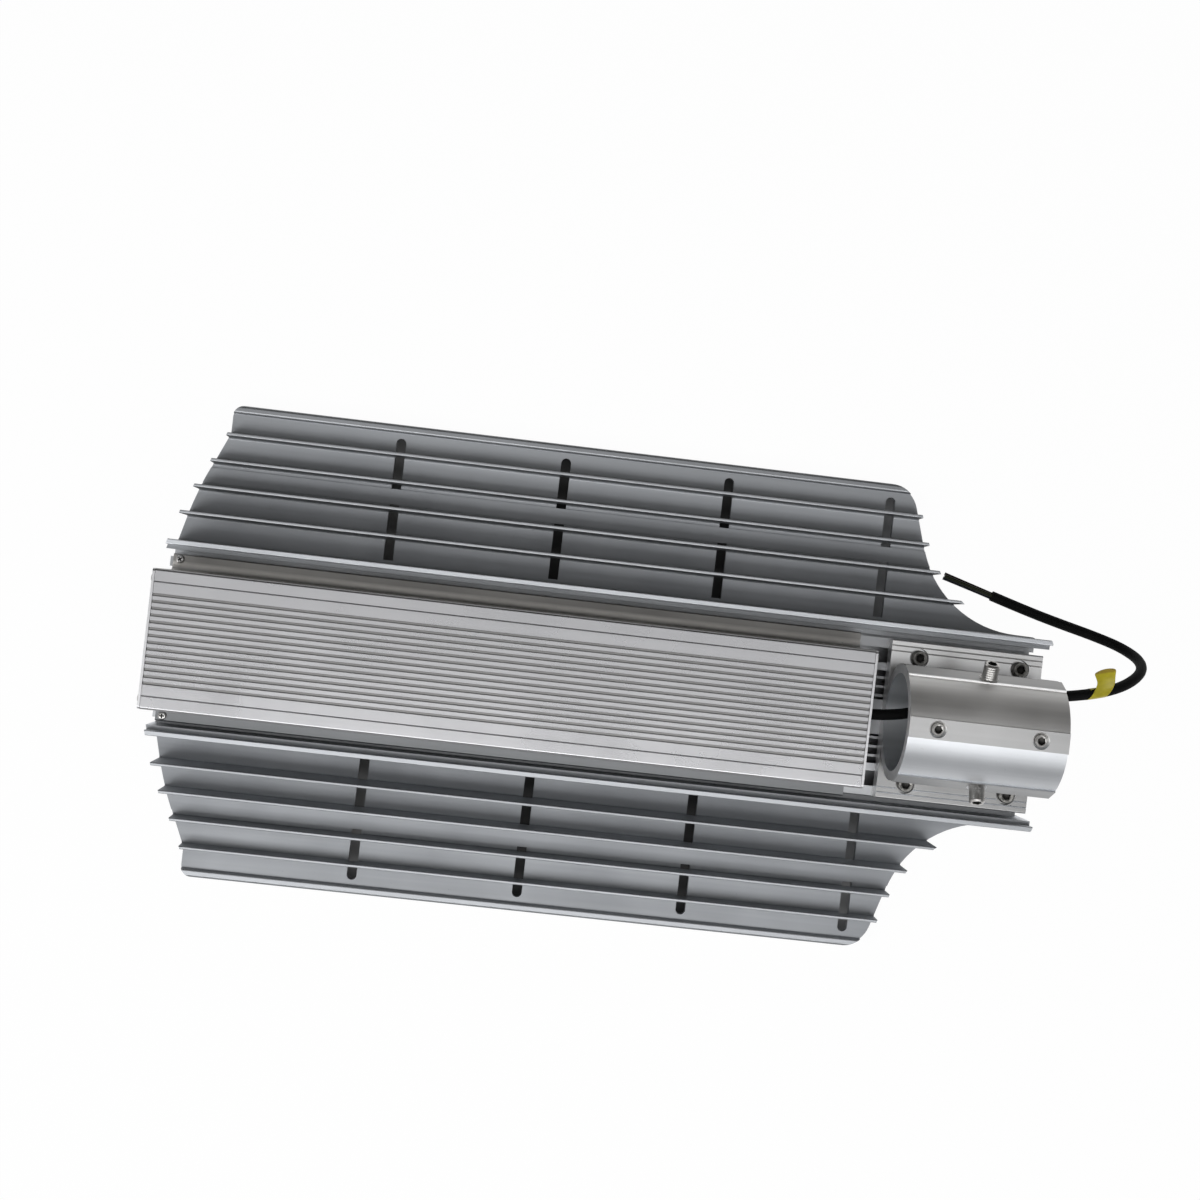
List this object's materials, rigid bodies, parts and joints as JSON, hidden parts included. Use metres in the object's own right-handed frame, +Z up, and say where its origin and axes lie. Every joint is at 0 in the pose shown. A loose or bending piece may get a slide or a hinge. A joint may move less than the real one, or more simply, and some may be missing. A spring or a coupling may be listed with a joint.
{
  "type": "LED street light head",
  "caption": "LED street light head: finned aluminium wings on a centre spine, a ribbed driver box, and a tube clamp for a 60 mm pole arm, with its supply cord.",
  "frame": {"origin": "centre of the head's footprint (cord left out), on the plane of the lens tips that it rests on", "axes": "+X along the head towards the pole clamp, +Y to the side where the cord lies, +Z up, away from the light"},
  "size_m": [0.6484, 0.312, 0.1113],
  "materials": {
    "wing_aluminium": "satin, bare extruded aluminium, slightly blue grey",
    "bright_aluminium": "satin, bare extruded aluminium",
    "gloss_aluminium": "polished, bare extruded aluminium",
    "clamp_aluminium": "satin, bare extruded aluminium",
    "steel": "bright stainless screws",
    "dark_steel": "dark socket screws",
    "lens": "clear moulded lens plate",
    "rubber": "matt black rubber",
    "gasket": "grey silicone rubber",
    "board": "white solder mask on a metal core board",
    "driver_case": "light grey driver case",
    "core_brown": "very dark brown core insulation",
    "core_blue": "very dark blue core insulation",
    "core_green": "very dark green core insulation",
    "yellow_flag": "soft yellow film, bare"
  },
  "bodies": {
    "root": {"heat_sink_left": "wing_aluminium", "heat_sink_right": "wing_aluminium", "spine": "bright_aluminium", "driver_tray": "gloss_aluminium", "driver_lid": "bright_aluminium", "end_gasket_front": "gasket", "end_plate_front": "bright_aluminium", "end_gasket_rear": "gasket", "end_plate_rear": "bright_aluminium", "end_plate_screws": "steel", "flange_screws": "steel", "tray_screws": "steel", "driver_screws": "steel", "module_screws": "steel", "wing_bolts": "steel", "top_set_screws": "dark_steel", "side_set_screws": "dark_steel", "clamp_screws": "dark_steel", "strip_nut_left": "steel", "strip_nut_right": "steel", "led_driver": "driver_case", "pole_clamp": "clamp_aluminium", "lens_plate_1": "lens", "module_gasket_1": "gasket", "led_board_1": "board", "lens_plate_2": "lens", "module_gasket_2": "gasket", "led_board_2": "board", "lens_plate_3": "lens", "module_gasket_3": "gasket", "led_board_3": "board", "lens_plate_4": "lens", "module_gasket_4": "gasket", "led_board_4": "board", "lens_plate_5": "lens", "module_gasket_5": "gasket", "led_board_5": "board", "lens_plate_6": "lens", "module_gasket_6": "gasket", "led_board_6": "board", "lens_plate_7": "lens", "module_gasket_7": "gasket", "led_board_7": "board", "lens_plate_8": "lens", "module_gasket_8": "gasket", "led_board_8": "board", "cord_grommet": "rubber", "power_cord": "rubber", "cord_core_brown": "core_brown", "cord_core_blue": "core_blue", "cord_core_earth": "core_green", "cord_tag": "yellow_flag"}
  },
  "joints": []
}
